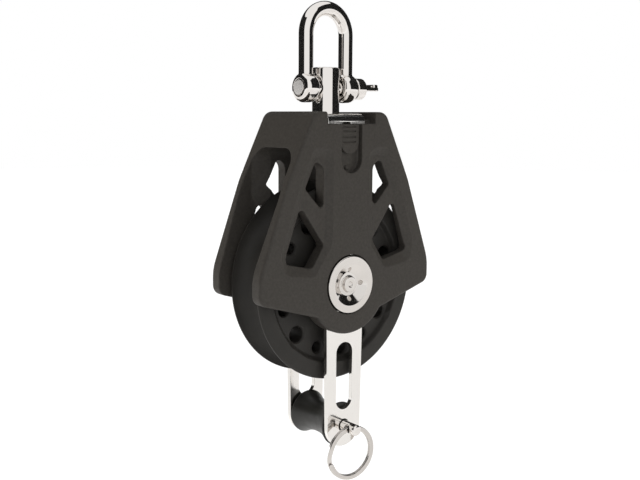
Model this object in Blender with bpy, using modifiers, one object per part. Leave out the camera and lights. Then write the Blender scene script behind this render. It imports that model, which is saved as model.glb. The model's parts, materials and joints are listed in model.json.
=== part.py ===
"""Swivel shackle block with a 60 mm sheave, a three-way swivel lock and a becket.

The model is worked out in millimetres in the axle's frame: X along the cheeks, Y along the axle (the front
face looks towards -Y) and +Z up, with the axle's centre at 0. finish_mesh turns it into metres, and every
object hangs from an empty that puts the world origin where the shackle bow bears on what holds the block.
"""

import math

import bmesh
import bpy
from mathutils import Matrix, Vector

MM = 0.001
GAP = 0.3  # running clearance and gap between touching pieces
THIN_GAP = 0.2  # where flat faces slide on each other

# Body
FACE_Y = 12.42  # half the body's thickness
TOP_Z = 51.2
EDGE_ROUND = 0.8
BOSS_R = 15.1
CHANNEL_X = 9.25  # half width of the open channel across the top
CHANNEL_Z = 48.75
NOTCH_Z = 47.65
RECESS = 1.25
ROPEWAY_Y = 7.4  # half width of the space over the sheave
WASHER_R = 11.6

# Load strap: an inverted U with becket legs
STRAP_W = 7.1  # half width
STRAP_T = 1.5
STRAP_Y = 9.95  # outer face of each leg
BRIDGE_Z = 50.6  # top of the bridge
STRAP_END_W = 6.55
BECKET_Z = -44.6

# Sheave and bearing
SHEAVE_R = 30.0
SHEAVE_Y = 7.09
AXLE_R = 4.0
RACE_R = 6.2
ROLLER_R = 1.35
ROLLER_PITCH = 7.9
ROLLER_HALF = 5.4
ROLLERS = 10
BORE_R = 9.6
WEB_Y = 5.6
WEB_HOLES = 14
WEB_HOLE_PITCH = 20.9

# Swivel post and shackle
POST_R = 4.15
POST_TOP = 64.3
PIN_Z = 58.2  # shackle pin's axis
PIN_R = 2.3
BOW_R = 2.2  # rod radius
BOW_X = 7.65  # rod's centre line
BOW_BEND_Z = 73.95
COLLAR_R = 5.6
NOTCH_R = 4.2  # how deep the collar's notches reach

# Lock slider
SLOT_W = 3.95
SLOT_BOTTOM = 33.35
SLOT_FLOOR = 10.45
SLIDER_W = 3.55
SLIDER_Y = 11.5  # its front face
SLIDER_LOW = 38.95
NOTCH_W = 1.55

# Becket
CLEVIS_R = 1.7
THIMBLE_R = 6.8
THIMBLE_WAIST = 4.9
RING_R = 7.75  # centre line of the split ring
RING_WIRE = 0.75
RING_Y = -13.3
RING_YAW = -5  # degrees

HANG_Z = BOW_BEND_Z + BOW_X - BOW_R  # inside of the bow, where the block hangs


# ---------------------------------------------------------------- scene and helpers


def clear_scene():
    for old in list(bpy.data.objects):
        bpy.data.objects.remove(old, do_unlink=True)


def new_collection(name):
    made = bpy.data.collections.new(name)
    bpy.context.scene.collection.children.link(made)
    return made


def new_material(name, colour, roughness, metallic):
    made = bpy.data.materials.new(name)
    made.use_nodes = True
    shader = made.node_tree.nodes["Principled BSDF"]
    shader.inputs["Base Color"].default_value = (*colour, 1)
    shader.inputs["Roughness"].default_value = roughness
    shader.inputs["Metallic"].default_value = metallic
    return made


def finish_mesh(name, bm, material, cutter=False, pivot=(0, 0, 0)):
    """Makes the object, in metres, with its origin on pivot (its joint's axis) below the hang point."""
    bmesh.ops.translate(bm, verts=bm.verts, vec=-Vector(pivot))
    bmesh.ops.scale(bm, verts=bm.verts, vec=(MM, MM, MM))
    mesh = bpy.data.meshes.new(name)
    bm.to_mesh(mesh)
    bm.free()
    obj = bpy.data.objects.new(name, mesh)
    obj.parent = HANG
    obj.location = Vector(pivot) * MM
    if cutter:
        CUTTERS.objects.link(obj)
        obj.hide_render = True
        obj.display_type = "WIRE"
    else:
        PARTS.objects.link(obj)
        mesh.materials.append(material)
        mesh.shade_smooth()
        mesh.set_sharp_from_angle(angle=math.radians(35))
    return obj


def boolean(obj, other, operation):
    step = obj.modifiers.new(other.name, "BOOLEAN")
    step.operation = operation
    step.solver = "EXACT"
    step.object = other


def cut(obj, *cutters):
    for cutter in cutters:
        boolean(obj, cutter, "DIFFERENCE")


def bevel(obj, width, segments, angle=50):
    step = obj.modifiers.new("rounded_edges", "BEVEL")
    step.width = width * MM
    step.segments = segments
    step.limit_method = "ANGLE"
    step.angle_limit = math.radians(angle)


def box(low, high):
    bm = bmesh.new()
    bmesh.ops.create_cube(bm, size=1)
    middle = [(a + b) / 2 for a, b in zip(low, high)]
    bmesh.ops.scale(bm, verts=bm.verts, vec=[b - a for a, b in zip(low, high)])
    bmesh.ops.translate(bm, verts=bm.verts, vec=middle)
    return bm


AXES = {
    "X": Matrix.Rotation(math.radians(90), 4, "Y"),
    "Y": Matrix.Rotation(math.radians(-90), 4, "X"),
    "Z": Matrix.Identity(4),
}


def cylinder(radius, low, high, axis="Y", centre=(0, 0, 0), sides=32):
    bm = bmesh.new()
    size = {"radius1": radius, "radius2": radius, "depth": high - low}
    bmesh.ops.create_cone(bm, cap_ends=True, segments=sides, **size)
    bmesh.ops.translate(bm, verts=bm.verts, vec=(0, 0, (low + high) / 2))
    bmesh.ops.transform(bm, matrix=AXES[axis], verts=bm.verts)
    bmesh.ops.translate(bm, verts=bm.verts, vec=centre)
    return bm


def join(*parts):
    """One bmesh of several that lie apart."""
    whole = bmesh.new()
    for part in parts:
        mesh = bpy.data.meshes.new("joining")
        part.to_mesh(mesh)
        whole.from_mesh(mesh)
        part.free()
        bpy.data.meshes.remove(mesh)
    return whole


def rounded(corners, steps=5):
    """A closed outline through (u, v, radius) corners, each radius an arc that both sides are tangent to."""
    outline = []
    for i, (u, v, radius) in enumerate(corners):
        here = Vector((u, v))
        back = (Vector(corners[i - 1][:2]) - here).normalized()
        ahead = (Vector(corners[(i + 1) % len(corners)][:2]) - here).normalized()
        if radius == 0:
            outline.append((u, v))
            continue
        half = back.angle(ahead) / 2
        centre = here + (back + ahead).normalized() * radius / math.sin(half)
        start = here + back * radius / math.tan(half) - centre
        end = here + ahead * radius / math.tan(half) - centre
        turn = start.angle_signed(end)
        for k in range(steps + 1):
            arm = Matrix.Rotation(-turn * k / steps, 2) @ start
            outline.append(tuple(centre + arm))
    return outline


PLACES = {
    "X": lambda u, v, w: (w, u, v),
    "Y": lambda u, v, w: (u, w, v),
    "Z": lambda u, v, w: (u, v, w),
}


def loft(axis, *sections):
    """A skin through (outline, distance along axis) sections, whose outlines have as many points as each other.
    An outline's (u, v) are (Y, Z) on X, (X, Z) on Y and (X, Y) on Z."""
    bm = bmesh.new()
    rows = [[bm.verts.new(PLACES[axis](u, v, w)) for u, v in outline] for outline, w in sections]
    bm.faces.new(rows[0])
    bm.faces.new(list(reversed(rows[-1])))
    for here, ahead in zip(rows, rows[1:]):
        for i in range(len(here)):
            j = (i + 1) % len(here)
            bm.faces.new((here[i], here[j], ahead[j], ahead[i]))
    bmesh.ops.recalc_face_normals(bm, faces=bm.faces)
    return bm


def prism(outline, low, high, axis="Y"):
    return loft(axis, (outline, low), (outline, high))


def stadium(half_width, top, bottom, steps=8):
    """A slot's outline with round ends, upright, between the heights top and bottom."""
    right = [
        (half_width * math.cos(a), math.sin(a) * half_width)
        for a in (math.pi * k / steps for k in range(steps + 1))
    ]
    upper = [(x, top - half_width + z) for x, z in right]
    lower = [(-x, bottom + half_width - z) for x, z in right]
    return upper + lower


def turned(name, profile, material, steps, axis="Y", pivot=(0, 0, 0)):
    """A closed (radius, along) profile turned about axis through pivot."""
    bm = bmesh.new()
    points = [bm.verts.new((r, 0, h)) for r, h in profile]
    for i in range(len(points) - 1):
        bm.edges.new((points[i], points[i + 1]))
    if profile[0][0] > 0:
        bm.edges.new((points[-1], points[0]))
    bmesh.ops.scale(bm, verts=bm.verts, vec=(MM, MM, MM))
    mesh = bpy.data.meshes.new(name)
    bm.to_mesh(mesh)
    bm.free()
    mesh.materials.append(material)
    obj = bpy.data.objects.new(name, mesh)
    PARTS.objects.link(obj)
    obj.parent = HANG
    obj.location = Vector(pivot) * MM
    obj.rotation_euler = AXES[axis].to_euler()
    screw = obj.modifiers.new("turned", "SCREW")
    screw.steps = steps
    screw.render_steps = steps
    screw.use_merge_vertices = True
    screw.merge_threshold = 0.00001
    screw.use_smooth_shade = True
    return obj


# ---------------------------------------------------------------- body


def cheek_outline():
    corners = [(13.7, TOP_Z, 3.6), (23.6, 30.8, 30), (33.1, 4.8, 15), (33.1, -2.4, 3)]
    joint = math.radians(35)
    foot = (BOSS_R * math.cos(joint), -BOSS_R * math.sin(joint))
    other_half = [(-x, z, r) for x, z, r in reversed(corners)]
    shape = rounded([*corners, (*foot, 0), (-foot[0], foot[1], 0), *other_half])
    cut_at = shape.index(foot) + 1
    boss = [
        (BOSS_R * math.cos(a), -BOSS_R * math.sin(a))
        for a in (joint + (math.pi - 2 * joint) * k / 14 for k in range(1, 14))
    ]
    return shape[:cut_at] + boss + shape[cut_at:]


def arch_cutters():
    """The space for the sheave and the rope, open at both sides and below. Over the sheave it narrows inwards
    from flared mouths, and what it leaves there houses the strap's legs."""

    def section(side):
        return rounded([*side, *[(-y, z, r) for y, z, r in reversed(side)]])

    wide = section([(8.5, -25, 0), (8.5, 8, 20), (10.0, 27, 12), (9.3, 40.7, 4.2)])
    narrow = section([(7.6, -25, 0), (7.8, 8, 20), (ROPEWAY_Y, 27, 12), (ROPEWAY_Y, 40.7, 3.5)])
    flare = ((wide, -40), (wide, -20.5), (narrow, -15), (narrow, 15), (wide, 20.5), (wide, 40))
    return [
        finish_mesh("cut_arch", loft("X", *flare), None, cutter=True),
        finish_mesh("cut_sheave_room", cylinder(SHEAVE_R + 0.8, -7.5, 7.5, sides=48), None, cutter=True),
        finish_mesh("cut_washer_seats", cylinder(WASHER_R + 0.4, -8.5, 8.5, sides=48), None, cutter=True),
    ]


def window_cutters():
    upper = [(9.6, 35.2, 2.6), (12.6, 37.2, 1.3), (16.4, 29.3, 0.9), (10.6, 23.2, 0.9), (9.6, 24.6, 0.6)]
    lower = [(18.1, 24.4, 1.2), (9.5, 12.6, 1.2), (14.0, 5.9, 1.6), (24.0, 8.3, 1.6)]
    found = []
    for name, corners in (("upper", upper), ("lower", lower)):
        for side, side_name in ((-1, "left"), (1, "right")):
            outline = [(side * x, z) for x, z in rounded(corners, steps=3)]
            shape = prism(outline, -FACE_Y - 1, FACE_Y + 1)
            found.append(finish_mesh(f"cut_{name}_window_{side_name}", shape, None, cutter=True))
    return found


def recess_cutters():
    """The shallow panels round the windows, with sloping sides, on both faces."""
    rim = [
        (6.4, 40.5, 3),
        (14.6, 41.5, 3),
        (20.9, 27, 20),
        (26.4, 11, 6),
        (25.2, 4.6, 4),
        (13.6, 3.0, 3),
        (6.6, 12.5, 8),
    ]
    floor = [
        (9.1, 38.2, 2),
        (12.6, 38.6, 2),
        (17.8, 26.2, 20),
        (23.3, 10.6, 4),
        (22.6, 7.4, 2.2),
        (14.4, 6.0, 2),
        (9.3, 13.2, 6),
    ]
    over = RECESS * 0.2  # the cutter starts this far outside the face
    found = []
    for side, side_name in ((-1, "left"), (1, "right")):
        wide = [(side * x, z) for x, z in rounded(rim, steps=2)]
        narrow = [(side * x, z) for x, z in rounded(floor, steps=2)]
        for face, face_name in ((-1, "front"), (1, "rear")):
            shape = loft("Y", (wide, face * (FACE_Y + over)), (narrow, face * (FACE_Y - RECESS)))
            found.append(finish_mesh(f"cut_recess_{side_name}_{face_name}", shape, None, cutter=True))
    return found


def make_body(nylon):
    body = finish_mesh("moulded_body", prism(cheek_outline(), -FACE_Y, FACE_Y), nylon)
    bevel(body, EDGE_ROUND, 2)
    cut(body, *arch_cutters(), *recess_cutters(), *window_cutters())
    channel = box((-CHANNEL_X, -FACE_Y - 1, CHANNEL_Z), (CHANNEL_X, FACE_Y + 1, TOP_Z + 1))
    wide = STRAP_W + GAP
    inner = STRAP_Y - STRAP_T - GAP
    cutters = {
        "cut_channel": channel,
        "cut_notches": join(
            box((-CHANNEL_X, -FACE_Y - 1, NOTCH_Z), (CHANNEL_X, -STRAP_Y + 0.5, TOP_Z + 2)),
            box((-CHANNEL_X, STRAP_Y - 0.5, NOTCH_Z), (CHANNEL_X, FACE_Y + 1, TOP_Z + 2)),
        ),
        "cut_strap_pockets": join(
            box((-wide, -STRAP_Y - THIN_GAP, -20), (wide, -inner, TOP_Z + 3)),
            box((-wide, inner, -20), (wide, STRAP_Y + THIN_GAP, TOP_Z + 3)),
        ),
        "cut_collar_pocket": cylinder(COLLAR_R + 0.7, 43.1, TOP_Z + 4, "Z", sides=32),
        "cut_pawl_way": box((-NOTCH_W, -SLOT_FLOOR - 0.5, 38.6), (NOTCH_W, -3, CHANNEL_Z + 1)),
        "cut_slider_slot": prism(stadium(SLOT_W, TOP_Z + 8, SLOT_BOTTOM), -FACE_Y - 1, -SLOT_FLOOR),
        "cut_axle_bore": cylinder(AXLE_R + GAP, -FACE_Y - 1, FACE_Y + 1),
        "cut_cap_seats": join(
            cylinder(9.0, -FACE_Y - 1, -STRAP_Y, sides=40),
            cylinder(9.0, STRAP_Y, FACE_Y + 1, sides=40),
        ),
    }
    for name, shape in cutters.items():
        cut(body, finish_mesh(name, shape, None, cutter=True))
    return body


# ---------------------------------------------------------------- load strap


def make_strap(steel):
    """One strip, bent over the top, whose legs carry the axle and run on below it as the becket."""
    bottom = BECKET_Z - STRAP_END_W
    outer = [
        (-STRAP_Y, bottom - 2, 0),
        (-STRAP_Y, BRIDGE_Z, 2.1),
        (STRAP_Y, BRIDGE_Z, 2.1),
        (STRAP_Y, bottom - 2, 0),
    ]
    y = STRAP_Y - STRAP_T
    z = BRIDGE_Z - STRAP_T
    inner = [(y, bottom - 2, 0), (y, z, 0.6), (-y, z, 0.6), (-y, bottom - 2, 0)]
    strip = rounded(outer, steps=5) + rounded(inner, steps=3)
    strap = finish_mesh("load_strap", prism(strip, -STRAP_W - 1, STRAP_W + 1, "X"), steel)
    end = [
        (STRAP_END_W * math.cos(a), BECKET_Z - STRAP_END_W * math.sin(a))
        for a in (math.pi * k / 16 for k in range(17))
    ]
    front = [(STRAP_W, BRIDGE_Z + 2), (STRAP_W, -14), *end, (-STRAP_W, -14), (-STRAP_W, BRIDGE_Z + 2)]
    outline = finish_mesh("cut_strap_outline", prism(front, -15, 15), None, cutter=True)
    boolean(strap, outline, "INTERSECT")
    slot = stadium(3.15, -18.3, -39.4)
    shapes = {
        "cut_strap_axle_hole": cylinder(AXLE_R + GAP, -15, 15),
        "cut_strap_slots": prism(slot, -16, 16),
        "cut_strap_clevis_holes": cylinder(CLEVIS_R + GAP, -17, 17, centre=(0, 0, BECKET_Z), sides=24),
        "cut_strap_post_hole": cylinder(POST_R + GAP, 40, 60, "Z"),
        "cut_strap_pawl_window": box((-NOTCH_W, -12, 38.4), (NOTCH_W, -7, 48.2)),
    }
    for name, shape in shapes.items():
        cut(strap, finish_mesh(name, shape, None, cutter=True))
    return strap


# ---------------------------------------------------------------- head


def make_post(steel):
    """Swivel post: an eye for the shackle pin above, a notched collar under the strap's bridge below."""
    profile = [
        (0, POST_TOP),
        (POST_R - 0.7, POST_TOP),
        (POST_R, POST_TOP - 0.7),
        (POST_R, 47.7),
        (COLLAR_R, 47.7),
        (COLLAR_R, 44.4),
        (COLLAR_R - 0.4, 44.0),
        (0, 44.0),
    ]
    post = turned("swivel_post", [(r, z - PIN_Z) for r, z in profile], steel, 28, "Z", (0, 0, PIN_Z))
    across = NOTCH_W - 0.1
    eye = cylinder(PIN_R + GAP, -8, 8, "X", (0, 0, PIN_Z), sides=20)
    notches = join(
        box((-across, NOTCH_R, 42), (across, 8, 47.9)),
        box((-across, -8, 42), (across, -NOTCH_R, 47.9)),
        box((NOTCH_R, -across, 42), (8, across, 47.9)),
        box((-8, -across, 42), (-NOTCH_R, across, 47.9)),
    )
    cut(
        post,
        finish_mesh("cut_post_eye", eye, None, cutter=True),
        finish_mesh("cut_post_notches", notches, None, cutter=True),
    )
    return post


def make_shackle(steel):
    """Bow: a bent rod whose ends are upset into eyes."""
    bend = [
        (BOW_X * math.cos(a), BOW_BEND_Z + BOW_X * math.sin(a))
        for a in (math.pi * k / 12 for k in range(13))
    ]
    route = [(BOW_X, PIN_Z), *bend, (-BOW_X, PIN_Z)]
    curve = bpy.data.curves.new("bow", "CURVE")
    curve.dimensions = "3D"
    curve.bevel_depth = BOW_R * MM
    curve.bevel_resolution = 3
    curve.use_fill_caps = True
    line = curve.splines.new("POLY")
    line.points.add(len(route) - 1)
    for point, (x, z) in zip(line.points, route):
        point.co = (x * MM, 0, z * MM, 1)
    rod = bpy.data.objects.new("bow_route", curve)
    bpy.context.scene.collection.objects.link(rod)
    graph = bpy.context.evaluated_depsgraph_get()
    mesh = bpy.data.meshes.new_from_object(rod.evaluated_get(graph))
    bpy.data.objects.remove(rod, do_unlink=True)
    bm = bmesh.new()
    bm.from_mesh(mesh)
    bmesh.ops.remove_doubles(bm, verts=bm.verts, dist=0.000001)
    bmesh.ops.recalc_face_normals(bm, faces=bm.faces)
    bmesh.ops.scale(bm, verts=bm.verts, vec=(1 / MM,) * 3)
    bow = finish_mesh("shackle_bow", bm, steel)
    for side_name, low, high in (("left", -10.25, -4.85), ("right", 4.85, 10.25)):
        shape = cylinder(4.4, low, high, "X", (0, 0, PIN_Z), sides=24)
        eye = finish_mesh(f"cut_eye_{side_name}", shape, None, cutter=True)
        bevel(eye, 1.3, 2)
        boolean(bow, eye, "UNION")
    hole = cylinder(PIN_R + GAP, -12, 12, "X", (0, 0, PIN_Z), sides=20)
    cut(bow, finish_mesh("cut_shackle_holes", hole, None, cutter=True))
    return bow


def make_shackle_pin(steel):
    """Key pin: plain shank, a collar that seats on the right eye, and a flat key to turn it by."""
    profile = [
        (0, 14.0),
        (3.0, 14.0),
        (3.3, 13.7),
        (3.3, 10.9),
        (3.0, 10.6),
        (PIN_R, 10.6),
        (PIN_R, -10.2),
        (PIN_R - 0.4, -10.6),
        (0, -10.6),
    ]
    pin = turned("shackle_pin", profile, steel, 20, "X", (0, 0, PIN_Z))
    key = rounded([(12.5, -2.6, 0), (20.0, -3.2, 2.2), (20.0, 3.2, 2.2), (12.5, 2.6, 0)], steps=4)
    flat = finish_mesh("cut_key", prism(key, PIN_Z - 0.6, PIN_Z + 0.6, "Z"), None, cutter=True)
    boolean(pin, flat, "UNION")
    hole = cylinder(1.1, PIN_Z - 2, PIN_Z + 2, "Z", (17.2, 0, 0), sides=16)
    cut(pin, finish_mesh("cut_key_hole", hole, None, cutter=True))
    return pin


def make_washer(name, inner, outer, low, high, material, axis="Y"):
    profile = [(inner, high), (outer, high), (outer, low), (inner, low)]
    return turned(name, profile, material, 28, axis)


# ---------------------------------------------------------------- swivel lock


def make_slider(nylon):
    """Thumb slider with two pairs of grip grooves, and a pawl that stops just clear of the post's collar."""
    top = NOTCH_Z - THIN_GAP
    low = [
        (SLIDER_W * math.cos(a), SLIDER_LOW + SLIDER_W - SLIDER_W * math.sin(a))
        for a in (math.pi * k / 12 for k in range(13))
    ]
    plate = prism([(SLIDER_W, top), *low, (-SLIDER_W, top)], -SLIDER_Y, -SLOT_FLOOR - THIN_GAP)
    slider = finish_mesh("lock_slider", plate, nylon)
    half = NOTCH_W - GAP
    pawl = box((-half, -SLOT_FLOOR - THIN_GAP - 0.4, 45.0), (half, -COLLAR_R - GAP, 47.0))
    boolean(slider, finish_mesh("cut_pawl", pawl, None, cutter=True), "UNION")
    deep = -SLIDER_Y + 0.35
    grooves = join(*(box((-2.7, -SLIDER_Y - 1, z), (2.3, deep, z + 0.5)) for z in (42.2, 43.6, 45.3, 46.6)))
    relief = box((-1.3, -SLIDER_Y + 0.4, SLIDER_LOW - 1), (1.3, -SLOT_FLOOR, SLIDER_LOW + 2.2))
    cut(
        slider,
        finish_mesh("cut_grip", grooves, None, cutter=True),
        finish_mesh("cut_relief", relief, None, cutter=True),
    )
    return slider


# ---------------------------------------------------------------- axle, bearing and sheave


def make_axle(steel):
    length = 10.6
    edge = 0.4
    profile = [(0, length), (AXLE_R - edge, length), (AXLE_R, length - edge)]
    return turned("axle", profile + [(r, -y) for r, y in reversed(profile)], steel, 24)


def make_cap(name, side, steel):
    """Cap with a flat rim, a dish and a centred boss, closing one end of the axle."""
    face = FACE_Y + 0.45
    rear = [
        (0, face - 0.75),
        (1.0, face - 0.3),
        (1.9, face - 0.25),
        (2.2, face - 0.55),
        (3.0, face - 0.6),
        (3.3, face - 0.95),
        (4.9, face - 1.0),
        (5.9, face - 0.3),
        (6.1, face),
        (8.45, face),
        (8.68, face - 0.23),
        (8.68, STRAP_Y + GAP),
        (AXLE_R + GAP, STRAP_Y + GAP),
        (AXLE_R + GAP, 10.9),
        (0, 10.9),
    ]
    profile = rear if side > 0 else [(r, -y) for r, y in reversed(rear)]
    cap = turned(name, profile, steel, 32)
    reach = sorted((side * (face - 1.4), side * (face + 1)))
    places = [(4.5 * math.cos(a), 0, 4.5 * math.sin(a)) for a in (math.pi * k / 2 for k in range(4))]
    holes = join(*(cylinder(0.7, *reach, centre=place, sides=8) for place in places))
    cut(cap, finish_mesh(f"cut_{name}_spanner_holes", holes, None, cutter=True))
    return cap


def make_sheave(acetal):
    """Deep round groove, stepped flanges and a web with alternate large and small holes."""
    groove_r = 6.3
    groove_at = 30.6
    start = math.acos((groove_at - SHEAVE_R) / groove_r)
    groove = [
        (groove_at - groove_r * math.cos(a), groove_r * math.sin(a))
        for a in (start - 2 * start * k / 8 for k in range(9))
    ]
    side = [
        (BORE_R, 6.8),
        (12.2, 6.8),
        (13.4, WEB_Y),
        (23.9, WEB_Y),
        (24.9, SHEAVE_Y),
        (29.5, SHEAVE_Y),
        (SHEAVE_R, SHEAVE_Y - 0.5),
    ]
    profile = side + groove + [(r, -y) for r, y in reversed(side)]
    sheave = turned("sheave", profile, acetal, 40)
    holes = []
    for k in range(WEB_HOLES):
        a = math.radians(-136) + 2 * math.pi * k / WEB_HOLES
        at = (WEB_HOLE_PITCH * math.cos(a), 0, WEB_HOLE_PITCH * math.sin(a))
        holes.append(cylinder(1.75 if k % 2 else 2.5, -9, 9, centre=at, sides=10))
    cut(sheave, finish_mesh("cut_web_holes", join(*holes), None, cutter=True))
    return sheave


def bearing_angle(k):
    return 2 * math.pi * k / ROLLERS


def make_cage(acetal):
    cage = make_washer("roller_cage", 7.05, 8.75, -6.2, 6.2, acetal)
    pockets = []
    half = ROLLER_R + GAP
    for k in range(ROLLERS):
        pocket = box((5.8, -ROLLER_HALF - GAP, -half), (10.4, ROLLER_HALF + GAP, half))
        bmesh.ops.rotate(pocket, verts=pocket.verts, matrix=Matrix.Rotation(bearing_angle(k), 3, "Y"))
        pockets.append(pocket)
    cut(cage, finish_mesh("cut_cage_pockets", join(*pockets), None, cutter=True))
    return cage


def make_rollers(acetal):
    for k in range(ROLLERS):
        a = -bearing_angle(k)
        at = (ROLLER_PITCH * math.cos(a), 0, ROLLER_PITCH * math.sin(a))
        shape = cylinder(ROLLER_R, -ROLLER_HALF, ROLLER_HALF, centre=at, sides=12)
        finish_mesh(f"roller_{k + 1:02d}", shape, acetal, pivot=at)


# ---------------------------------------------------------------- becket


def make_thimble(nylon):
    edge = 8.05
    sweep = [
        (THIMBLE_WAIST + (THIMBLE_R - THIMBLE_WAIST) * abs(y / 7.6) ** 2.2, y)
        for y in (7.6 - 15.2 * k / 8 for k in range(9))
    ]
    bore = CLEVIS_R + GAP
    profile = [(bore, edge), (THIMBLE_R - 0.5, edge), *sweep, (THIMBLE_R - 0.5, -edge), (bore, -edge)]
    return turned("becket_thimble", profile, nylon, 28, pivot=(0, 0, BECKET_Z))


def make_clevis_pin(steel):
    """Plain pin with a head at the rear and a cross hole at the front for the split ring."""
    head = STRAP_Y + GAP
    tip = -16.5
    profile = [
        (0, head + 1.2),
        (2.5, head + 1.2),
        (2.8, head + 0.9),
        (2.8, head),
        (CLEVIS_R, head),
        (CLEVIS_R, tip + 0.6),
        (CLEVIS_R - 0.6, tip),
        (0, tip),
    ]
    pin = turned("clevis_pin", profile, steel, 20, pivot=(0, 0, BECKET_Z))
    hole = cylinder(1.1, -4, 4, "X", (0, RING_Y, BECKET_Z), sides=16)
    cut(pin, finish_mesh("cut_clevis_cross_hole", hole, None, cutter=True))
    return pin


def make_ring(steel):
    """Split ring hanging from the clevis pin's cross hole, modelled closed. It swings about that hole."""
    sides = 8
    wire = [
        (RING_R + RING_WIRE * math.cos(a), RING_WIRE * math.sin(a))
        for a in (math.pi - 2 * math.pi * k / sides for k in range(sides))
    ]
    ring = turned("split_ring", wire, steel, 36)
    swing = bpy.data.objects.new("ring_swing_axis", None)
    PARTS.objects.link(swing)
    swing.parent = HANG
    swing.location = Vector((0, RING_Y, BECKET_Z)) * MM
    swing.rotation_euler = (0, 0, math.radians(RING_YAW))
    ring.parent = swing
    ring.location = (0, 0, -RING_R * MM)
    return ring


# ---------------------------------------------------------------- assembly


def make_all():
    nylon = new_material("black_nylon", (0.055, 0.052, 0.048), 0.6, 0.0)
    acetal = new_material("black_acetal", (0.02, 0.02, 0.02), 0.4, 0.0)
    white = new_material("white_acetal", (0.8, 0.8, 0.76), 0.4, 0.0)
    satin = new_material("satin_stainless", (0.78, 0.76, 0.73), 0.3, 1.0)
    polished = new_material("polished_stainless", (0.75, 0.73, 0.7), 0.08, 1.0)
    make_body(nylon)
    make_strap(satin)
    make_post(polished)
    make_washer("swivel_washer", POST_R + GAP, COLLAR_R, 48.0, 48.75, white, "Z")
    make_shackle(polished)
    make_shackle_pin(polished)
    make_slider(nylon)
    make_axle(satin)
    make_cap("axle_cap_front", -1, satin)
    make_cap("axle_cap_rear", 1, satin)
    make_washer("inner_race", AXLE_R + GAP, RACE_R, -6.9, 6.9, satin)
    make_washer("thrust_washer_front", AXLE_R + GAP, WASHER_R, -8.15, -7.2, white)
    make_washer("thrust_washer_rear", AXLE_R + GAP, WASHER_R, 7.2, 8.15, white)
    make_sheave(acetal)
    make_cage(acetal)
    make_rollers(white)
    make_thimble(nylon)
    make_clevis_pin(polished)
    make_ring(polished)


clear_scene()
PARTS = new_collection("swivel_shackle_block")
CUTTERS = new_collection("cutters")
HANG = bpy.data.objects.new("axle_frame", None)
PARTS.objects.link(HANG)
HANG.location = (0, 0, -HANG_Z * MM)
make_all()
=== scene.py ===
"""Looks for the swivel shackle block: fine surfaces, materials, studio and camera.

Shapes are worked out in millimetres in the axle's frame, as the CAD is: X along the cheeks, the front face
towards -Y and +Z up. to_object turns them into the frame's metres.
"""

import json
import math

import bmesh
import bpy
from mathutils import Matrix, Vector

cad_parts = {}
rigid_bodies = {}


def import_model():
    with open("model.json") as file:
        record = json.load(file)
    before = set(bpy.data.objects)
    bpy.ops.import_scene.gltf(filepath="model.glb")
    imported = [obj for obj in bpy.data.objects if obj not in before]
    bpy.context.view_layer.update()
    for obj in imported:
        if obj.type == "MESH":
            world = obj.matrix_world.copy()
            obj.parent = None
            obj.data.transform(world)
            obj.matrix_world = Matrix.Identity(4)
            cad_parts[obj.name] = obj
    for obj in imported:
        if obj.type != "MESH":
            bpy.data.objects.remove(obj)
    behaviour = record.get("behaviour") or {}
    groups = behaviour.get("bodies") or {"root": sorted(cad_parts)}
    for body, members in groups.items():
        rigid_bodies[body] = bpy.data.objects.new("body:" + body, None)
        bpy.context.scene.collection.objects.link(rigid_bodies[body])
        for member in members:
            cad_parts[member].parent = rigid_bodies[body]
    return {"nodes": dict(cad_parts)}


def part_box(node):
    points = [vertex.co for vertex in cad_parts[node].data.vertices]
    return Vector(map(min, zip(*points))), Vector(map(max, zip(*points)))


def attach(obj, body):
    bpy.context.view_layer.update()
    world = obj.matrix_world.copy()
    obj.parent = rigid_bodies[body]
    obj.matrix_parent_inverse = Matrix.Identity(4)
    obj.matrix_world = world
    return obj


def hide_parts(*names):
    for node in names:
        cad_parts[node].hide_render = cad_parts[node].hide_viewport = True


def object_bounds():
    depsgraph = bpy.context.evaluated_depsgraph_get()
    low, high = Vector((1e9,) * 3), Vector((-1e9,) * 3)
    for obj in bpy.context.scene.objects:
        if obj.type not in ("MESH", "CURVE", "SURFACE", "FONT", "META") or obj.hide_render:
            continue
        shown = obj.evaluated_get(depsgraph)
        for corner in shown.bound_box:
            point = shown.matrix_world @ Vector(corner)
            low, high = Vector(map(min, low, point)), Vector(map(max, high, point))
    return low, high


for old in list(bpy.data.objects):
    bpy.data.objects.remove(old, do_unlink=True)
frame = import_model()
cad_box = [list(corner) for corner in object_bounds()]

MM = 0.001


def node_box(node):
    """A CAD node's corners in millimetres in the axle's frame."""
    return [(corner - AXLE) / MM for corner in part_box(node)]


AXLE = sum(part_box("axle"), Vector()) / 2
BODY_HIGH = node_box("moulded_body")[1]
STRAP_LOW, STRAP_HIGH = node_box("load_strap")
SHEAVE_HIGH = node_box("sheave")[1]
POST_LOW, POST_HIGH = node_box("swivel_post")
PIN_LOW, PIN_HIGH = node_box("shackle_pin")
BOW_HIGH = node_box("shackle_bow")[1]
SLIDER_LOW, SLIDER_HIGH = node_box("lock_slider")
CAP_LOW = node_box("axle_cap_front")[0]
THIMBLE_LOW, THIMBLE_HIGH = node_box("becket_thimble")
CLEVIS_LOW, CLEVIS_HIGH = node_box("clevis_pin")

FACE_Y = BODY_HIGH.y
TOP_Z = BODY_HIGH.z
CHEEK_X = BODY_HIGH.x
STRAP_Y = STRAP_HIGH.y
STRAP_W = STRAP_HIGH.x
BRIDGE_Z = STRAP_HIGH.z
SHEAVE_R = SHEAVE_HIGH.z
SHEAVE_Y = SHEAVE_HIGH.y
BECKET_Z = (THIMBLE_LOW.z + THIMBLE_HIGH.z) / 2
PIN_Z = (PIN_LOW.z + PIN_HIGH.z) / 2

SMOOTH = 16  # steps in a rounded corner
ROUND = 96  # steps in a turn

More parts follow.
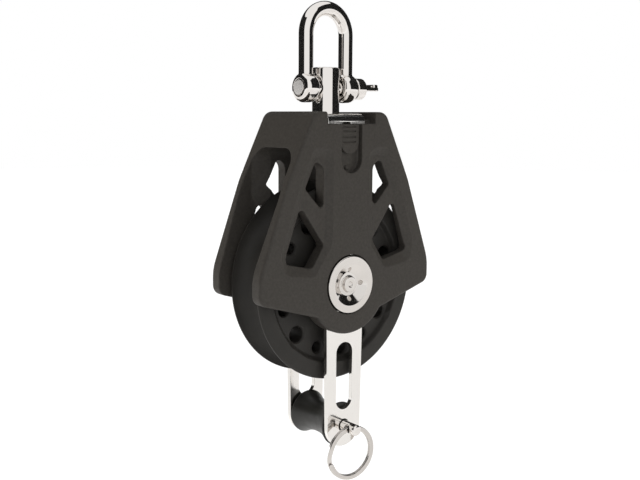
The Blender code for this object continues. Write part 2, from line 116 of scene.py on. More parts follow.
BOSS_R = 15.1  # the cheeks' foot, round the axle
RECESS = 1.25  # depth of the panels round the windows
SHEAVE_ROOM = 0.8  # clearance outside the sheave's rim
CLEVIS_HOLE = (-13.3, 1.25)  # its Y and radius, which the split ring hangs through
ROD_R = 2.2  # the shackle bow's
PIN_HOLE_R = 2.6  # for the shackle pin, in the bow and the post
RIB_ROWS = (42.2, 43.6, 45.3, 46.6)  # the slider's grip grooves


# ---------------------------------------------------------------- materials


def shader_of(name, colour, roughness, metallic=0.0):
    made = bpy.data.materials.new(name)
    made.use_nodes = True
    shader = made.node_tree.nodes["Principled BSDF"]
    shader.inputs["Base Color"].default_value = (*colour, 1)
    shader.inputs["Roughness"].default_value = roughness
    shader.inputs["Metallic"].default_value = metallic
    return made, made.node_tree, shader


def noise(tree, scale, detail=4.0, stretch=(1, 1, 1)):
    """Noise over the object's own coordinates, with scale in cells per metre."""
    place = tree.nodes.new("ShaderNodeTexCoord")
    mapping = tree.nodes.new("ShaderNodeMapping")
    mapping.inputs["Scale"].default_value = stretch
    made = tree.nodes.new("ShaderNodeTexNoise")
    made.inputs["Scale"].default_value = scale
    made.inputs["Detail"].default_value = detail
    tree.links.new(place.outputs["Object"], mapping.inputs["Vector"])
    tree.links.new(mapping.outputs["Vector"], made.inputs["Vector"])
    return made.outputs["Fac"]


def ramp(tree, value, low, high, start=0.3, end=0.7):
    """Maps value between two colours, or two greys given as numbers."""
    made = tree.nodes.new("ShaderNodeValToRGB")
    stops = made.color_ramp.elements
    for stop, at, colour in ((stops[0], start, low), (stops[1], end, high)):
        stop.position = at
        stop.color = (*colour, 1) if isinstance(colour, tuple) else (colour, colour, colour, 1)
    tree.links.new(value, made.inputs["Fac"])
    return made.outputs["Color"]


def bump(tree, shader, value, depth, strength=1.0):
    made = tree.nodes.new("ShaderNodeBump")
    made.inputs["Distance"].default_value = depth
    made.inputs["Strength"].default_value = strength
    tree.links.new(value, made.inputs["Height"])
    tree.links.new(made.outputs["Normal"], shader.inputs["Normal"])


def moulded_nylon():
    """Matt black nylon with the fine spark-eroded grain of its mould."""
    made, tree, shader = shader_of("moulded_nylon", (0.035, 0.031, 0.0265), 0.62)
    shader.inputs["Specular IOR Level"].default_value = 0.3
    cloud = noise(tree, 1300, 6)
    tint = ramp(tree, cloud, (0.030, 0.0265, 0.0225), (0.041, 0.0365, 0.031))
    tree.links.new(tint, shader.inputs["Base Color"])
    grain = noise(tree, 4200, 5)
    tree.links.new(ramp(tree, grain, 0.54, 0.7), shader.inputs["Roughness"])
    bump(tree, shader, grain, 0.00006, 0.6)
    return made


def turned_acetal():
    """Black acetal, a little smoother than the cheeks."""
    made, tree, shader = shader_of("turned_acetal", (0.018, 0.017, 0.0155), 0.45)
    shader.inputs["Specular IOR Level"].default_value = 0.22
    cloud = noise(tree, 140, 3)
    tint = ramp(tree, cloud, (0.019, 0.0175, 0.0155), (0.025, 0.023, 0.020))
    tree.links.new(tint, shader.inputs["Base Color"])
    grain = noise(tree, 3000, 4)
    tree.links.new(ramp(tree, grain, 0.42, 0.56), shader.inputs["Roughness"])
    bump(tree, shader, grain, 0.00004, 0.5)
    return made


def thimble_nylon():
    """Black nylon with a satin sheen."""
    made, tree, shader = shader_of("thimble_nylon", (0.014, 0.0135, 0.0115), 0.38)
    cloud = noise(tree, 600, 4)
    tree.links.new(ramp(tree, cloud, 0.33, 0.45), shader.inputs["Roughness"])
    bump(tree, shader, noise(tree, 2600, 3), 0.00003, 0.4)
    return made


def white_acetal():
    made, tree, shader = shader_of("white_acetal", (0.8, 0.8, 0.76), 0.4)
    tree.links.new(ramp(tree, noise(tree, 500), 0.34, 0.46), shader.inputs["Roughness"])
    return made


def satin_stainless():
    """Stainless strip, nearly a mirror, with a faint vertical grain."""
    made, tree, shader = shader_of("satin_stainless", (0.86, 0.84, 0.81), 0.12, 1.0)
    lines = noise(tree, 1800, 3, (1, 1, 0.03))
    tree.links.new(ramp(tree, lines, 0.1, 0.15), shader.inputs["Roughness"])
    return made


def polished_stainless():
    """Mirror polished stainless with faint smears."""
    made, tree, shader = shader_of("polished_stainless", (0.8, 0.77, 0.74), 0.06, 1.0)
    tree.links.new(ramp(tree, noise(tree, 260, 3), 0.02, 0.05), shader.inputs["Roughness"])
    return made


def cap_stainless():
    """Turned stainless with a faintly uneven roughness, though not the grain that runs round the axle."""
    made, tree, shader = shader_of("cap_stainless", (0.68, 0.65, 0.62), 0.1, 1.0)
    tree.links.new(ramp(tree, noise(tree, 700, 3), 0.07, 0.14), shader.inputs["Roughness"])
    return made


def spring_stainless():
    """The split ring's drawn wire, greyer than the polished pieces."""
    made, tree, shader = shader_of("spring_stainless", (0.62, 0.59, 0.56), 0.16, 1.0)
    tree.links.new(ramp(tree, noise(tree, 900, 3), 0.12, 0.2), shader.inputs["Roughness"])
    return made


LOOKS = {
    "nylon": moulded_nylon(),
    "sheave_acetal": turned_acetal(),
    "white_acetal": white_acetal(),
    "satin_steel": satin_stainless(),
    "polished_steel": polished_stainless(),
}
THIMBLE_LOOK = thimble_nylon()
RING_LOOK = spring_stainless()
CAP_LOOK = cap_stainless()
PIN_END_LOOK = shader_of("faced_stainless", (0.6, 0.58, 0.56), 0.5, 0.6)[0]


# ---------------------------------------------------------------- mesh helpers


def to_object(name, bm, material=None):
    """The object, in the frame's metres, from a mesh in millimetres in the axle's frame."""
    bmesh.ops.scale(bm, verts=bm.verts, vec=(MM, MM, MM))
    bmesh.ops.translate(bm, verts=bm.verts, vec=AXLE)
    mesh = bpy.data.meshes.new(name)
    bm.to_mesh(mesh)
    bm.free()
    if material:
        mesh.materials.append(material)
    obj = bpy.data.objects.new(name, mesh)
    bpy.context.scene.collection.objects.link(obj)
    return obj


def settle(obj):
    """Applies obj's modifiers."""
    graph = bpy.context.evaluated_depsgraph_get()
    mesh = bpy.data.meshes.new_from_object(
        obj.evaluated_get(graph), preserve_all_data_layers=True, depsgraph=graph
    )
    obj.modifiers.clear()
    obj.data = mesh


def carve(obj, cutters, operation="DIFFERENCE"):
    """Cuts, joins or intersects obj with meshes, and drops them."""
    helpers = [to_object(f"{obj.name}_cutter_{i}", bm) for i, bm in enumerate(cutters)]
    for helper in helpers:
        step = obj.modifiers.new("carve", "BOOLEAN")
        step.operation = operation
        step.solver = "EXACT"
        step.object = helper
    settle(obj)
    for helper in helpers:
        bpy.data.objects.remove(helper, do_unlink=True)


def soften(obj, width, segments=3, angle=20):
    """Rounds the edges that are sharper than angle."""
    step = obj.modifiers.new("soften", "BEVEL")
    step.width = width * MM
    step.segments = segments
    step.limit_method = "ANGLE"
    step.angle_limit = math.radians(angle)
    step.use_clamp_overlap = False
    step.miter_outer = "MITER_ARC"
    settle(obj)


def smooth(obj, angle=32, weighted=True):
    obj.data.shade_smooth()
    obj.data.set_sharp_from_angle(angle=math.radians(angle))
    if weighted:
        step = obj.modifiers.new("flat_faces_stay_flat", "WEIGHTED_NORMAL")
        step.keep_sharp = True
        step.weight = 80


def show(obj, body, slot, *nodes):
    """obj rides on body and stands for the CAD nodes, which are hidden. slot is not used."""
    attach(obj, body)
    if nodes:
        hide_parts(*nodes)
    return obj


def rounded(corners, steps=SMOOTH):
    """A closed outline through (u, v, radius) corners, each radius an arc that both sides are tangent to."""
    outline = []
    for i, (u, v, radius) in enumerate(corners):
        if radius == 0:
            outline.append((u, v))
            continue
        here = Vector((u, v))
        back = (Vector(corners[i - 1][:2]) - here).normalized()
        ahead = (Vector(corners[(i + 1) % len(corners)][:2]) - here).normalized()
        half = back.angle(ahead) / 2
        centre = here + (back + ahead).normalized() * radius / math.sin(half)
        start = here + back * radius / math.tan(half) - centre
        end = here + ahead * radius / math.tan(half) - centre
        turn = start.angle_signed(end)
        for k in range(steps + 1):
            outline.append(tuple(centre + Matrix.Rotation(-turn * k / steps, 2) @ start))
    return outline


def offset(outline, distance):
    """The outline moved outwards by distance, or inwards where it is negative."""
    count = len(outline)
    area = sum(
        outline[i][0] * outline[(i + 1) % count][1] - outline[(i + 1) % count][0] * outline[i][1]
        for i in range(count)
    )
    out = []
    for i in range(count):
        here = Vector(outline[i])
        back = (here - Vector(outline[i - 1])).normalized()
        ahead = (Vector(outline[(i + 1) % count]) - here).normalized()
        side = (back + ahead).normalized()
        reach = distance / max(side.dot(ahead), 0.3)
        normal = Vector((side.y, -side.x)) * (1 if area > 0 else -1)
        out.append(tuple(here + normal * reach))
    return out


PLACES = {
    "X": lambda u, v, w: (w, u, v),
    "Y": lambda u, v, w: (u, w, v),
    "Z": lambda u, v, w: (u, v, w),
}


def loft(rings, closed=False):
    """A skin over rings of points, capped at both ends or, where closed, joined end to end."""
    bm = bmesh.new()
    rows = [[bm.verts.new(point) for point in ring] for ring in rings]
    pairs = list(zip(rows, rows[1:]))
    if closed:
        pairs.append((rows[-1], rows[0]))
    else:
        bm.faces.new(rows[0])
        bm.faces.new(rows[-1])
    for here, ahead in pairs:
        for i in range(len(here)):
            j = (i + 1) % len(here)
            bm.faces.new((here[i], here[j], ahead[j], ahead[i]))
    bmesh.ops.recalc_face_normals(bm, faces=bm.faces)
    return bm


def prism(outline, low, high, axis="Y", edge=0.0, steps=5):
    """The outline extruded along axis, with its two rims rounded by edge."""
    place = PLACES[axis]
    if edge == 0:
        levels = [(low, 0), (high, 0)]
    else:
        turns = [math.pi / 2 * k / steps for k in range(steps + 1)]
        levels = [(low + edge - edge * math.cos(t), edge * math.sin(t) - edge) for t in turns]
        levels += [(high - edge + edge * math.cos(t), edge * math.sin(t) - edge) for t in reversed(turns)]
    return loft([[place(u, v, w) for u, v in offset(outline, grow)] for w, grow in levels])


def tapered(outline, end_outline, low, high, axis="Y"):
    place = PLACES[axis]
    return loft([[place(u, v, low) for u, v in outline], [place(u, v, high) for u, v in end_outline]])


def circle(radius, centre=(0, 0), steps=64):
    turns = (2 * math.pi * k / steps for k in range(steps))
    return [(centre[0] + radius * math.cos(t), centre[1] + radius * math.sin(t)) for t in turns]


def block(low, high):
    (x0, y0, z0), (x1, y1, z1) = low, high
    return prism([(x0, z0), (x1, z0), (x1, z1), (x0, z1)], y0, y1)


def stadium(half_width, top, bottom, steps=24):
    turns = [math.pi * k / steps for k in range(steps + 1)]
    right = [(half_width * math.cos(a), half_width * math.sin(a)) for a in turns]
    return [(x, top - half_width + z) for x, z in right] + [(-x, bottom + half_width - z) for x, z in right]


def turned(profile, axis="Y", centre=(0, 0, 0), steps=ROUND, closed=False):
    """A (radius, along) profile turned about axis through centre. It ends on the axis unless closed."""
    place = PLACES[axis]
    bm = bmesh.new()
    rows = []
    for radius, along in profile:
        if radius == 0:
            rows.append([bm.verts.new(Vector(place(0, 0, along)) + Vector(centre))])
            continue
        turns = (2 * math.pi * k / steps for k in range(steps))
        ring = [Vector(place(radius * math.cos(t), radius * math.sin(t), along)) for t in turns]
        rows.append([bm.verts.new(point + Vector(centre)) for point in ring])
    pairs = list(zip(rows, rows[1:]))
    if closed:
        pairs.append((rows[-1], rows[0]))
    for here, ahead in pairs:
        for i in range(steps):
            j = (i + 1) % steps
            if len(here) == 1:
                bm.faces.new((here[0], ahead[i], ahead[j]))
            elif len(ahead) == 1:
                bm.faces.new((here[i], here[j], ahead[0]))
            else:
                bm.faces.new((here[i], here[j], ahead[j], ahead[i]))
    bmesh.ops.recalc_face_normals(bm, faces=bm.faces)
    return bm


def eased(profile, radius, steps=4):
    """A profile whose inner corners are rounded by radius, or less where a side is short."""
    out = [profile[0]]
    for before, here, after in zip(profile, profile[1:], profile[2:]):
        here = Vector(here)
        back, ahead = Vector(before) - here, Vector(after) - here
        reach = min(radius, back.length * 0.45, ahead.length * 0.45)
        start, end = here + back.normalized() * reach, here + ahead.normalized() * reach
        for k in range(steps + 1):
            t = k / steps
            out.append(tuple(start.lerp(here, t).lerp(here.lerp(end, t), t)))
    out.append(profile[-1])
    return out


# ---------------------------------------------------------------- body


def cheek_outline():
    corners = [(13.7, TOP_Z, 3.6), (23.6, 30.8, 30), (CHEEK_X, 4.8, 15), (CHEEK_X, -2.4, 3)]
    joint = math.radians(35)
    foot = (BOSS_R * math.cos(joint), -BOSS_R * math.sin(joint))
    other_half = [(-x, z, r) for x, z, r in reversed(corners)]
    shape = rounded([*corners, (*foot, 0), (-foot[0], foot[1], 0), *other_half])
    cut_at = shape.index(foot) + 1
    steps = 40
    boss = [
        (BOSS_R * math.cos(a), -BOSS_R * math.sin(a))
        for a in (joint + (math.pi - 2 * joint) * k / steps for k in range(1, steps))
    ]
    return shape[:cut_at] + boss + shape[cut_at:]


def arch():
    """The space for the sheave and the rope, which narrows over the sheave from flared mouths."""

    def section(side):
        return rounded([*side, *[(-y, z, r) for y, z, r in reversed(side)]])

    wide = section([(8.5, -25, 0), (8.5, 8, 20), (10.0, 27, 12), (9.3, 40.7, 4.2)])
    narrow = section([(7.6, -25, 0), (7.8, 8, 20), (7.4, 27, 12), (7.4, 40.7, 3.5)])
    flare = ((wide, -40), (wide, -20.5), (narrow, -15), (narrow, 15), (wide, 20.5), (wide, 40))
    return loft([[(x, y, z) for y, z in outline] for outline, x in flare])


def mirrored(corners, side):
    return [(side * x, z) for x, z in rounded(corners)]


def windows():
    upper = [(9.6, 35.2, 2.6), (12.6, 37.2, 1.3), (16.4, 29.3, 0.9), (10.6, 23.2, 0.9), (9.6, 24.6, 0.6)]
    lower = [(18.1, 24.4, 1.2), (9.5, 12.6, 1.2), (14.0, 5.9, 1.6), (24.0, 8.3, 1.6)]
    return [
        prism(mirrored(corners, side), -FACE_Y - 1, FACE_Y + 1)
        for corners in (upper, lower)
        for side in (-1, 1)
    ]


def recesses():
    """Shallow panels with sloping sides round the windows, on both faces."""
    over = RECESS * 0.2
    rim = [(6.4, 40.5, 3), (14.6, 41.5, 3), (20.9, 27, 20), (26.4, 11, 6), (25.2, 4.6, 4)]
    rim += [(13.6, 3.0, 3), (6.6, 12.5, 8)]
    floor = [(9.1, 38.2, 2), (12.6, 38.6, 2), (17.8, 26.2, 20), (23.3, 10.6, 4), (22.6, 7.4, 2.2)]
    floor += [(14.4, 6.0, 2), (9.3, 13.2, 6)]
    return [
        tapered(mirrored(rim, side), mirrored(floor, side), face * (FACE_Y + over), face * (FACE_Y - RECESS))
        for side in (-1, 1)
        for face in (-1, 1)
    ]


def make_body():
    channel_x, channel_z, notch_z = 9.25, 48.75, 47.65
    wide, inner, outer = STRAP_W + 0.3, STRAP_Y - 1.8, STRAP_Y + 0.2
    floor = 10.45
    cheeks = prism(cheek_outline(), -FACE_Y, FACE_Y, edge=0.8, steps=6)
    body = to_object("fine_moulded_body", cheeks, LOOKS["nylon"])
    sheave_room = prism(circle(SHEAVE_R + SHEAVE_ROOM, steps=ROUND), -7.5, 7.5)
    washer_seats = prism(circle(12.0), -8.5, 8.5)
    carve(body, [arch(), sheave_room, washer_seats, *recesses(), *windows()])
    carve(
        body,
        [
            block((-channel_x, -FACE_Y - 1, channel_z), (channel_x, FACE_Y + 1, TOP_Z + 1)),
            block((-channel_x, -FACE_Y - 1, notch_z), (channel_x, -STRAP_Y + 0.5, TOP_Z + 2)),
            block((-channel_x, STRAP_Y - 0.5, notch_z), (channel_x, FACE_Y + 1, TOP_Z + 2)),
            block((-wide, -outer, -20), (wide, -inner, TOP_Z + 3)),
            block((-wide, inner, -20), (wide, outer, TOP_Z + 3)),
            prism(circle(6.3), 43.1, TOP_Z + 4, "Z"),
            prism(stadium(3.95, TOP_Z + 8, 33.35), -FACE_Y - 1, -floor),
            prism(circle(9.0, steps=ROUND), -FACE_Y - 1, -STRAP_Y),
            prism(circle(9.0, steps=ROUND), STRAP_Y, FACE_Y + 1),
        ],
    )
    mesh_over(body, 0.2, 2)
    show(body, "block", "nylon", "moulded_body")


# ---------------------------------------------------------------- strap and becket


def make_strap():
    thick, end_w = 1.5, 6.55
    centre_z = STRAP_LOW.z + end_w
    y, z = STRAP_Y - thick, BRIDGE_Z - thick
    low = STRAP_LOW.z - 2
    outer = [(-STRAP_Y, low, 0), (-STRAP_Y, BRIDGE_Z, 2.1), (STRAP_Y, BRIDGE_Z, 2.1), (STRAP_Y, low, 0)]
    inner = [(y, low, 0), (y, z, 0.6), (-y, z, 0.6), (-y, low, 0)]
    strip = prism(rounded(outer) + rounded(inner), -STRAP_W - 1, STRAP_W + 1, "X")
    strap = to_object("fine_load_strap", strip, LOOKS["satin_steel"])
    steps = 48
    end = [
        (end_w * math.cos(a), centre_z - end_w * math.sin(a))
        for a in (math.pi * k / steps for k in range(steps + 1))
    ]
    top = BRIDGE_Z + 2
    front = [(STRAP_W, top), (STRAP_W, -14), *end, (-STRAP_W, -14), (-STRAP_W, top)]
    carve(strap, [prism(front, -15, 15)], "INTERSECT")
    carve(
        strap,
        [
            prism(stadium(3.15, -18.3, -39.4), -16, 16),
            prism(circle(2.0, (0, centre_z)), -17, 17),
            prism(circle(4.45), 40, 60, "Z"),
            block((-1.55, -12, 38.4), (1.55, -7, 48.2)),
        ],
    )
    soften(strap, 0.16, 2, 35)
    smooth(strap)
    show(strap, "block", "satin_steel", "load_strap")


def make_thimble():
    edge, waist, rim, flare = THIMBLE_HIGH.y, 4.9, THIMBLE_HIGH.x, 7.6
    steps = 28
    sweep = [
        (waist + (rim - waist) * abs(1 - 2 * k / steps) ** 2.2, flare - 2 * flare * k / steps)
        for k in range(steps + 1)
    ]
    side = [(2.0, edge), (rim - 0.45, edge), (rim - 0.13, edge - 0.13)]
    profile = side + sweep + [(r, -y) for r, y in reversed(side)]
    shape = turned(profile, "Y", (0, 0, BECKET_Z), closed=True)
    thimble = to_object("fine_becket_thimble", shape, THIMBLE_LOOK)
    smooth(thimble, weighted=False)
    show(thimble, "thimble", "nylon", "becket_thimble")


def make_clevis_pin():
    head, tip, radius = CLEVIS_HIGH.y, CLEVIS_LOW.y, 1.7
    seat = head - 1.2
    profile = [(0, head), (2.8, head), (2.8, seat), (radius, seat)]
    profile += [(radius, tip + 0.55), (radius - 0.45, tip), (0, tip)]
    shape = turned(eased(profile, 0.3), "Y", (0, 0, BECKET_Z), 64)
    pin = to_object("fine_clevis_pin", shape, LOOKS["polished_steel"])
    hole_y, hole_r = CLEVIS_HOLE
    carve(pin, [prism(circle(hole_r, (hole_y, BECKET_Z), 32), -4, 4, "X")])
    soften(pin, 0.1, 2, 40)
    smooth(pin)
    show(pin, "clevis", "polished_steel", "clevis_pin")


def make_ring():
    """Split ring: flat wire in two turns side by side, which cross over at the left."""
    swing = Vector((0, CLEVIS_HOLE[0], BECKET_Z))
    yaw = Matrix.Rotation(math.radians(-5), 3, "Z")
    radius, half_band, half_wire, lift = 7.75, 0.7, 0.31, 0.36
    cross = math.radians(38)
    begin = math.radians(196)
    sections, sides = 200, 16
    whole = 4 * math.pi - cross
    rings = []
    for k in range(sections + 1):
        a = whole * k / sections
        t = min(max((a - (2 * math.pi - cross)) / cross, 0), 1)
        along = lift * (2 * t * t * (3 - 2 * t) - 1)
        end = min(a, whole - a) / math.radians(4)
        size = 0.55 + 0.45 * min(end, 1) ** 0.5
        ring = []
        for i in range(sides):
            s = 2 * math.pi * i / sides
            u = half_band * size * math.copysign(abs(math.cos(s)) ** 0.45, math.cos(s))
            v = half_wire * size * math.copysign(abs(math.sin(s)) ** 0.45, math.sin(s))
            reach = radius + u
            place = Vector((reach * math.cos(begin + a), along + v, reach * math.sin(begin + a) - radius))
            ring.append(yaw @ place + swing)
        rings.append(ring)
    ring = to_object("fine_split_ring", loft(rings), RING_LOOK)
    smooth(ring, 50, weighted=False)
    show(ring, "ring", "polished_steel", "split_ring")


# ---------------------------------------------------------------- head


def make_bow():
    """Bent rod whose ends are forged into eyes, remeshed and smoothed so that the forms flow together."""
    bow_x = 7.65
    bend_z = BOW_HIGH.z - ROD_R - bow_x
    steps, sides = 64, 48
    stations = [(bow_x, PIN_Z, 0.0)]
    stations += [
        (bow_x * math.cos(a), bend_z + bow_x * math.sin(a), a)
        for a in (math.pi * k / steps for k in range(steps + 1))
    ]
    stations.append((-bow_x, PIN_Z, math.pi))
    turns = [2 * math.pi * k / sides for k in range(sides)]
    circle_at = [(ROD_R * math.cos(t), ROD_R * math.sin(t)) for t in turns]
    rings = [[(x + u * math.cos(a), v, z + u * math.sin(a)) for u, v in circle_at] for x, z, a in stations]
    bow = to_object("fine_shackle_bow", loft(rings), LOOKS["polished_steel"])
    eye = [(0, 4.85), (4.4, 4.85), (4.4, 10.25), (0, 10.25)]
    eyes = [turned(eased([(r, side * x) for r, x in eye], 2.4, 8), "X", (0, 0, PIN_Z)) for side in (-1, 1)]
    carve(bow, eyes, "UNION")
    carve(bow, [prism(circle(PIN_HOLE_R, (0, PIN_Z)), -12, 12, "X")])
    mesh_over(bow, 0.14, 8)
    show(bow, "shackle", "polished_steel", "shackle_bow")


def mesh_over(obj, voxel, rounds):
    remesh = obj.modifiers.new("remesh", "REMESH")
    remesh.mode = "VOXEL"
    remesh.voxel_size = voxel * MM
    ease = obj.modifiers.new("ease", "SMOOTH")
    ease.factor = 0.5
    ease.iterations = rounds
    settle(obj)
    obj.data.shade_smooth()


def make_pin():
    """Key pin: shank with a flat end and eased rim, a collar, and a flat key with a hole and a raised lip."""
    far, shank, collar = PIN_LOW.x, 2.3, 3.3
    profile = [(0, 14.0), (collar, 14.0), (collar, 10.6), (shank, 10.6), (shank, far), (0, far)]
    shape = turned(eased(profile, 0.45), "X", (0, 0, PIN_Z))
    pin = to_object("fine_shackle_pin", shape, LOOKS["polished_steel"])
    key = rounded([(12.5, -2.6, 0), (PIN_HIGH.x, -3.2, 2.2), (PIN_HIGH.x, 3.2, 2.2), (12.5, 2.6, 0)])
    plate = prism(key, PIN_Z - 0.6, PIN_Z + 0.6, "Z", edge=0.25)
    lip_x = PIN_HIGH.x - 2.6
    lip_end = PIN_HIGH.x - 0.3
    lip = rounded([(lip_x, -2.4, 0.6), (lip_end, -2.4, 1.2), (lip_end, 2.4, 1.2), (lip_x, 2.4, 0.6)])
    carve(pin, [plate, prism(lip, PIN_Z, PIN_Z + 1.5, "Z", edge=0.35)], "UNION")
    carve(pin, [prism(circle(1.1, (15.9, 0), 40), PIN_Z - 2, PIN_Z + 2, "Z")])
    soften(pin, 0.12, 2, 45)
    pin.data.materials.append(PIN_END_LOOK)
    end_x = AXLE.x + (far + 0.2) * MM
    for face in pin.data.polygons:
        if face.center.x < end_x:
            face.material_index = 1
    smooth(pin)
    show(pin, "shackle", "polished_steel", "shackle_pin")


def make_post():
    radius, collar, shoulder = 4.15, 5.6, 47.7
    top, bottom = POST_HIGH.z, POST_LOW.z
    profile = [(0, top), (radius, top), (radius, shoulder), (collar, shoulder), (collar, bottom), (0, bottom)]
    post = to_object("fine_swivel_post", turned(eased(profile, 0.6), "Z"), LOOKS["polished_steel"])
    notches = [block((-1.45, 4.2, 42), (1.45, 8, 47.9)), block((-1.45, -8, 42), (1.45, -4.2, 47.9))]
    notches += [block((4.2, -1.45, 42), (8, 1.45, 47.9)), block((-8, -1.45, 42), (-4.2, 1.45, 47.9))]
    spots = [prism(circle(3.5, (0, PIN_Z)), *sorted((side * 3.75, side * 6)), "X") for side in (-1, 1)]
    carve(post, [prism(circle(PIN_HOLE_R, (0, PIN_Z)), -8, 8, "X"), *notches, *spots])
    soften(post, 0.15, 2, 40)
    smooth(post)
    show(post, "post", "polished_steel", "swivel_post")


def make_slider():
    wide, low_z, top = SLIDER_HIGH.x, SLIDER_LOW.z, SLIDER_HIGH.z
    front, back = -11.5, -10.65
    steps = 32
    turns = [math.pi * k / steps for k in range(steps + 1)]
    low = [(wide * math.cos(a), low_z + wide - wide * math.sin(a)) for a in turns]
    plate = prism([(wide, top), *low, (-wide, top)], front, back)
    slider = to_object("fine_lock_slider", plate, LOOKS["nylon"])
    carve(slider, [block((-1.25, back - 0.4, 45.0), (1.25, SLIDER_HIGH.y, 47.0))], "UNION")
    grooves = [block((-2.7, front - 1, z), (2.3, front + 0.35, z + 0.5)) for z in RIB_ROWS]
    relief = block((-1.6, front + 0.3, low_z - 1), (0.6, back + 0.1, low_z + 2.4))
    carve(slider, [*grooves, relief])
    soften(slider, 0.1, 2, 40)
    smooth(slider)
    show(slider, "lock", "nylon", "lock_slider")
    bump_profile = [(0, 0.55), (0.5, 0.4), (0.8, 0)]
    dome = turned([(r, -10.5 - h) for r, h in bump_profile] + [(0, -10.3)], "Y", (-0.6, 0, 34.9), 32)
    detent = to_object("slider_detent", dome, LOOKS["nylon"])
    smooth(detent, weighted=False)
    show(detent, "block", "nylon")


# ---------------------------------------------------------------- axle caps and sheave


def make_cap(name, side):
    face = CAP_LOW.y * -1
    seat = STRAP_Y + 0.3
    rear = [
        (0, face - 0.85),
        (0.7, face - 0.8),
        (0.9, face - 0.35),
        (2.3, face - 0.35),
        (2.5, face - 1.45),
        (3.6, face - 1.5),
        (6.2, face - 0.1),
        (6.4, face),
        (8.5, face),
        (8.68, face - 0.2),
        (8.68, seat),
        (4.3, seat),
        (4.3, 10.9),
        (0, 10.9),
    ]
    cap = to_object(f"fine_{name}", turned([(r, side * y) for r, y in eased(rear, 0.18)]), CAP_LOOK)
    reach = sorted((side * (face - 1.75), side * (face + 1)))
    places = [(4.4 * math.cos(a), 4.4 * math.sin(a)) for a in (math.pi * k / 2 for k in range(4))]
    carve(cap, [prism(circle(0.75, place, 24), *reach) for place in places])
    smooth(cap)
    show(cap, "block", "satin_steel", name)


def make_sheave():
    """Turned sheave: round groove, rim, stepped web and alternate large and small holes."""
    groove_r, groove_at, steps = 6.3, 30.6, 28
    web_y, bore = 5.6, 9.6
    start = math.acos((groove_at - SHEAVE_R) / groove_r)
    groove = [
        (groove_at - groove_r * math.cos(a), groove_r * math.sin(a))
        for a in (start - 2 * start * k / steps for k in range(steps + 1))
    ]
    side = [(bore, 6.8), (12.2, 6.8), (13.4, web_y), (23.9, web_y)]
    side += [(24.9, SHEAVE_Y), (29.5, SHEAVE_Y), (SHEAVE_R, SHEAVE_Y - 0.5)]
    side = eased(side, 0.35)
    profile = side + groove + [(r, -y) for r, y in reversed(side)]
    sheave = to_object("fine_sheave", turned(profile, closed=True, steps=160), LOOKS["sheave_acetal"])
    cutters = []
    count, pitch = 14, 20.9
    for k in range(count):
        a = math.radians(-136) + 2 * math.pi * k / count
        at = (pitch * math.cos(a), pitch * math.sin(a))
        radius = 1.75 if k % 2 else 2.5
        flare = [(0, 8), (radius + 2.8, 8), (radius, web_y - 0.4)]
        flare += [(r, -y) for r, y in reversed(flare)]
        cutters.append(turned(flare, "Y", (at[0], 0, at[1]), 32))
    carve(sheave, cutters)
    smooth(sheave)
    show(sheave, "sheave", "sheave_acetal", "sheave")


def dress_hidden_nodes():
    """The CAD pieces that stay as they are get their finish."""
    hidden = {
        "satin_steel": ["axle", "inner_race"],
        "sheave_acetal": ["roller_cage"],
        "white_acetal": ["swivel_washer", "thrust_washer_front", "thrust_washer_rear"],
    }
    rollers = [name for name in frame["nodes"] if name.startswith("roller_") and name != "roller_cage"]
    hidden["white_acetal"] += rollers
    for slot, names in hidden.items():
        for name in names:
            materials = frame["nodes"][name].data.materials
            materials.clear()
            materials.append(LOOKS[slot])


# ---------------------------------------------------------------- studio and camera


def make_camera():
    azimuth, elevation, roll = (math.radians(d) for d in (-39.18, 8.006, 0.378))
    level = math.cos(elevation)
    back = Vector((math.sin(azimuth) * level, -math.cos(azimuth) * level, math.sin(elevation)))
    right = Vector((math.cos(azimuth), math.sin(azimuth), 0))
    up = back.cross(right)
    rolled_right = right * math.cos(roll) + up * math.sin(roll)
    rolled_up = up * math.cos(roll) - right * math.sin(roll)
    data = bpy.data.cameras.new("camera")
    data.sensor_width = 36
    data.lens = 49.13
    camera = bpy.data.objects.new("camera", data)
    bpy.context.scene.collection.objects.link(camera)
    turn = Matrix((rolled_right, rolled_up, back)).transposed().to_4x4()
    camera.matrix_world = Matrix.Translation((-0.169743, -0.206058, -0.029836)) @ turn
    bpy.context.scene.camera = camera
    return azimuth


def around(azimuth, distance, height):
    return Vector((distance * math.sin(azimuth), -distance * math.cos(azimuth), height))


def make_light(name, azimuth, distance, height, size, power):
    data = bpy.data.lights.new(name, "AREA")
    data.size = size
    data.energy = power
    light = bpy.data.objects.new(name, data)
    bpy.context.scene.collection.objects.link(light)
    light.visible_glossy = False
    light.location = around(azimuth, distance, height)
    aim = Vector((0, 0, -0.06)) - light.location
    light.rotation_euler = aim.to_track_quat("-Z", "Y").to_euler()


def make_card(name, facing, start, end, distance, low, high, material):
    """A dark curved card, start to end degrees right of the camera, for the polished steel to reflect."""
    steps = 24
    bm = bmesh.new()
    rows = []
    for k in range(steps + 1):
        azimuth = facing + math.radians(start + (end - start) * k / steps)
        rows.append([bm.verts.new(around(azimuth, distance, z)) for z in (low, high)])
    for here, ahead in zip(rows, rows[1:]):
        bm.faces.new((here[0], ahead[0], ahead[1], here[1]))
    mesh = bpy.data.meshes.new(name)
    bm.to_mesh(mesh)
    bm.free()
    mesh.materials.append(material)
    card = bpy.data.objects.new(name, mesh)
    bpy.context.scene.collection.objects.link(card)
    card.visible_camera = False


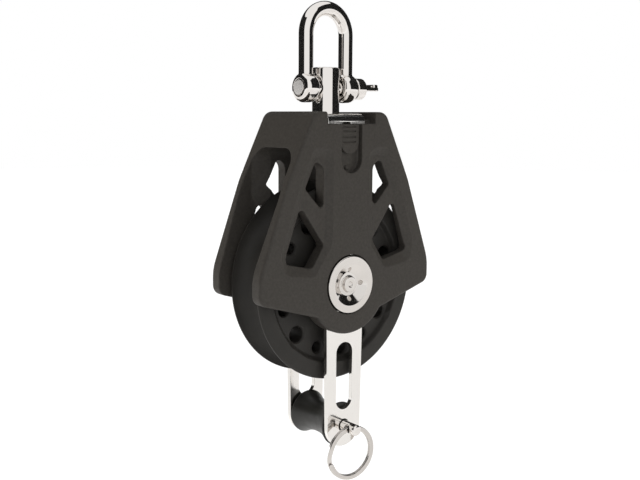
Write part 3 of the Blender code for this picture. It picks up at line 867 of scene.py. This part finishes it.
def make_floor(name, radius, drop, material):
    """A round floor, drop metres below the lowest point."""
    bm = bmesh.new()
    bmesh.ops.create_circle(bm, cap_ends=True, segments=96, radius=radius)
    mesh = bpy.data.meshes.new(name)
    bm.to_mesh(mesh)
    bm.free()
    mesh.materials.append(material)
    floor = bpy.data.objects.new(name, mesh)
    bpy.context.scene.collection.objects.link(floor)
    floor.location.z = cad_box[0][2] - drop
    return floor


def make_studio(facing):
    scene = bpy.context.scene
    scene.view_settings.view_transform = "Standard"
    world = bpy.data.worlds.new("white_room")
    scene.world = world
    world.use_nodes = True
    sky = world.node_tree.nodes["Background"]
    sky.inputs["Color"].default_value = (1, 1, 1, 1)
    sky.inputs["Strength"].default_value = 1.0
    black, _, _ = shader_of("card_black", (0.004, 0.004, 0.004), 0.9)
    for name, start, end in (("card_right", 58, 170), ("card_left", -150, -24)):
        make_card(name, facing, start, end, 0.6, -0.045, 0.7, black)
    make_card("card_back", facing, 170, 210, 0.6, 0.16, 0.7, black)
    make_light("key", facing + math.radians(-95), 0.5, 0.0, 0.3, 2.2)
    make_light("fill", facing + math.radians(85), 0.5, 0.0, 0.3, 1.1)
    floor_look, _, floor_shader = shader_of("floor_white", (0.8, 0.8, 0.8), 0.9)
    floor_shader.inputs["Emission Color"].default_value = (1, 1, 1, 1)
    floor_shader.inputs["Emission Strength"].default_value = 0.3
    make_floor("floor", 6, 0.25, floor_look)
    card_look, _, card_shader = shader_of("card_pale", (0.72, 0.71, 0.7), 0.9)
    card_shader.inputs["Emission Color"].default_value = (1, 0.99, 0.98, 1)
    card_shader.inputs["Emission Strength"].default_value = 0.3
    mirror_only = make_floor("floor_card", 2, 0.24, card_look)
    mirror_only.visible_camera = mirror_only.visible_diffuse = mirror_only.visible_shadow = False


# ---------------------------------------------------------------- assembly

make_body()
make_strap()
make_thimble()
make_clevis_pin()
make_ring()
make_bow()
make_pin()
make_post()
make_slider()
make_cap("axle_cap_front", -1)
make_cap("axle_cap_rear", 1)
make_sheave()
dress_hidden_nodes()
make_studio(make_camera())
